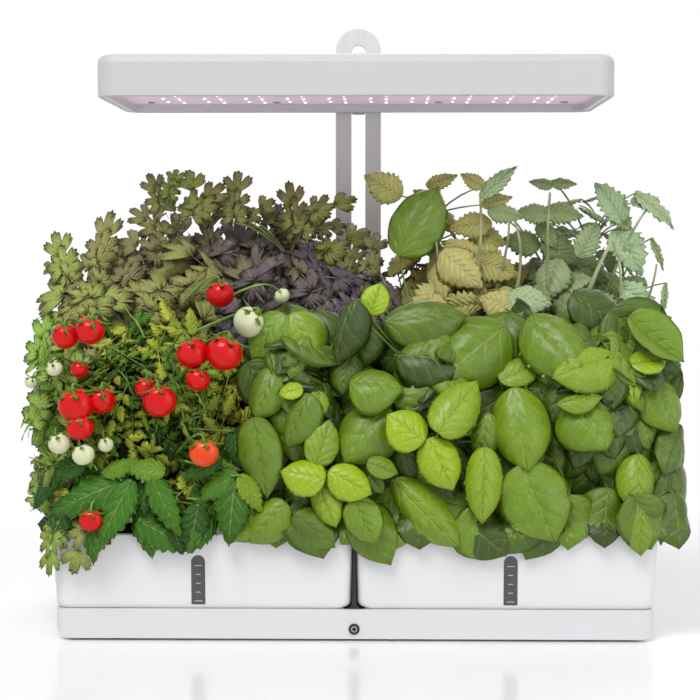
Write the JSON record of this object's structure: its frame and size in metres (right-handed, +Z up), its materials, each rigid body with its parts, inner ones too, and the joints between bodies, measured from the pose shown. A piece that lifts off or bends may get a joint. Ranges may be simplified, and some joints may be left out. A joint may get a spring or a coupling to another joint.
{
  "type": "countertop hydroponic garden",
  "caption": "Countertop hydroponic garden: slide-out water tanks on a low tray, planted pods, and a sliding grow lamp on a slotted mast.",
  "frame": {"origin": "on the table, under the middle of the whole object's plan", "axes": "+Z up, -Y towards the front with the button and the level windows, +X to the right as seen from the front"},
  "size_m": [0.4593, 0.2539, 0.4245],
  "materials": {
    "white_plastic": "satin white moulding",
    "mast_metal": "fine satin grey paint",
    "black_plastic": "matte black moulding",
    "button_black": "satin black",
    "rubber": "soft matte",
    "steel": "plain screws",
    "window_smoke": "smoky clear plastic",
    "copper": "bright contact strip",
    "board_green": "solder mask",
    "sponge": "dark open-cell growing sponge",
    "lamp_shell": "satin pale grey",
    "lamp_frame": "satin pale grey",
    "led_board": "white solder mask",
    "led_white": "lit white diode",
    "led_red": "lit red diode",
    "led_blue": "lit blue diode",
    "tomato_leaf": "serrated green leaves with red fruit",
    "basil_leaf": "glossy domed green leaves",
    "parsley_leaf": "fine cut green leaves",
    "mint_leaf": "crinkled pale green leaves"
  },
  "bodies": {
    "base": {"base_tray": "white_plastic", "bottom_cover": "white_plastic", "rubber_feet": "rubber", "bottom_screws": "steel", "centre_divider": "black_plastic", "mast_foot": "white_plastic", "mast": "mast_metal", "mast_screws": "steel", "contact_rails": "copper", "control_board": "board_green", "dc_inlet": "black_plastic", "mast_lead": "black_plastic"},
    "button": {"power_button": "button_black"},
    "left_tank_unit": {"left_tank": "white_plastic", "left_window": "window_smoke", "left_window_seal": "rubber"},
    "right_tank_unit": {"right_tank": "white_plastic", "right_window": "window_smoke", "right_window_seal": "rubber"},
    "left_deck_unit": {"left_deck": "white_plastic", "basket_1": "black_plastic", "basket_2": "black_plastic", "basket_3": "black_plastic", "basket_4": "black_plastic", "sponge_1": "sponge", "sponge_2": "sponge", "sponge_3": "sponge", "sponge_4": "sponge", "tomato_plant": "tomato_leaf", "basil_left": "basil_leaf", "parsley_left": "parsley_leaf", "parsley_middle": "parsley_leaf"},
    "right_deck_unit": {"right_deck": "white_plastic", "basket_5": "black_plastic", "basket_6": "black_plastic", "basket_7": "black_plastic", "basket_8": "black_plastic", "sponge_5": "sponge", "sponge_6": "sponge", "sponge_7": "sponge", "sponge_8": "sponge", "basil_middle": "basil_leaf", "basil_right": "basil_leaf", "mint_middle": "mint_leaf", "mint_right": "mint_leaf"},
    "lamp": {"lamp_housing": "lamp_shell", "lamp_bezel": "lamp_frame", "led_panel": "led_board", "led_driver": "board_green", "white_leds": "led_white", "red_leds": "led_red", "blue_leds": "led_blue", "panel_screws": "steel", "lamp_bracket": "lamp_shell", "bracket_screws": "steel", "brushes": "copper", "lamp_lead": "black_plastic", "clamp_plate": "mast_metal"},
    "knob": {"clamp_knob": "black_plastic"}
  },
  "joints": [
    {"name": "lamp_height", "type": "slide", "parent": "base", "child": "lamp", "axis": [0, 0, 1], "range_m": [-0.12, 0], "deforming": ["tomato_plant", "basil_left", "basil_middle", "basil_right", "parsley_left", "parsley_middle", "mint_middle", "mint_right"]},
    {"name": "knob_turn", "type": "hinge", "parent": "lamp", "child": "knob", "pos_m": [0, 0.1075, 0.37565], "axis": [0, 1, 0], "range_deg": [0, 270]},
    {"name": "button_press", "type": "slide", "parent": "base", "child": "button", "axis": [0, 1, 0], "range_m": [0, 0.0008], "stiffness_N_per_m": 900},
    {"name": "left_tank_slide", "type": "slide", "parent": "base", "child": "left_tank_unit", "axis": [0, -1, 0], "range_m": [0, 0.2]},
    {"name": "right_tank_slide", "type": "slide", "parent": "base", "child": "right_tank_unit", "axis": [0, -1, 0], "range_m": [0, 0.2]},
    {"name": "left_deck_lift", "type": "slide", "parent": "left_tank_unit", "child": "left_deck_unit", "axis": [0, 0, 1], "range_m": [0, 0.036]},
    {"name": "right_deck_lift", "type": "slide", "parent": "right_tank_unit", "child": "right_deck_unit", "axis": [0, 0, 1], "range_m": [0, 0.036]}
  ]
}
